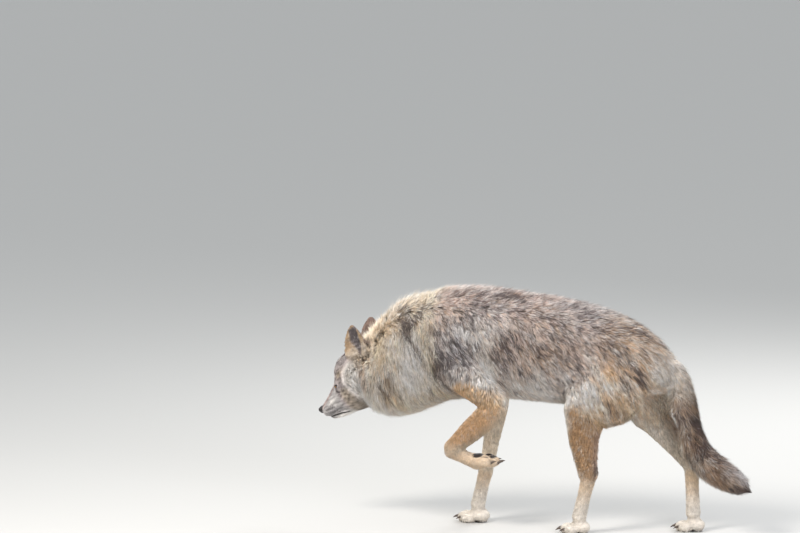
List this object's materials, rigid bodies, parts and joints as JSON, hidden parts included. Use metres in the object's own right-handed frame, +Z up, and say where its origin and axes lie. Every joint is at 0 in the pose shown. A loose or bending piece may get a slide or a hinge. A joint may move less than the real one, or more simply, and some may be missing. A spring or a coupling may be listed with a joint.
{
  "type": "wolf",
  "caption": "Still, life-size grey wolf walking slowly with its nose down and its left forepaw lifted.",
  "frame": {"origin": "middle of the wolf's box, on the floor under it", "axes": "-X to the nose, +X to the tail, -Y to the wolf's left side, +Z up"},
  "size_m": [1.4358, 0.2696, 0.7748],
  "materials": {
    "coat": "dense fur of soft wool under coarse guard hairs, tan and cream with dark brown and grey tips",
    "nose_leather": "black pebbled skin, slightly moist",
    "eye": "wet amber iris round a dark pupil under a clear front",
    "claw": "worn dark horn"
  },
  "bodies": {
    "root": {"chest": "coat", "claw_fore_left_1": "claw", "claw_fore_left_2": "claw", "claw_fore_left_3": "claw", "claw_fore_left_4": "claw", "claw_fore_right_1": "claw", "claw_fore_right_2": "claw", "claw_fore_right_3": "claw", "claw_fore_right_4": "claw", "claw_hind_left_1": "claw", "claw_hind_left_2": "claw", "claw_hind_left_3": "claw", "claw_hind_left_4": "claw", "claw_hind_right_1": "claw", "claw_hind_right_2": "claw", "claw_hind_right_3": "claw", "claw_hind_right_4": "claw", "ear_left": "coat", "ear_right": "coat", "eye_left": "eye", "eye_right": "eye", "forearm_fore_left": "coat", "forearm_fore_right": "coat", "head": "coat", "jaw": "coat", "loin": "coat", "neck": "coat", "nose": "nose_leather", "pastern_fore_left": "coat", "pastern_fore_right": "coat", "pastern_hind_left": "coat", "pastern_hind_right": "coat", "paw_fore_left": "coat", "paw_fore_right": "coat", "paw_hind_left": "coat", "paw_hind_right": "coat", "rump": "coat", "shank_hind_left": "coat", "shank_hind_right": "coat", "tail_middle": "coat", "tail_root": "coat", "tail_tip": "coat", "thigh_hind_left": "coat", "thigh_hind_right": "coat", "upper_arm_fore_left": "coat", "upper_arm_fore_right": "coat"}
  },
  "joints": []
}
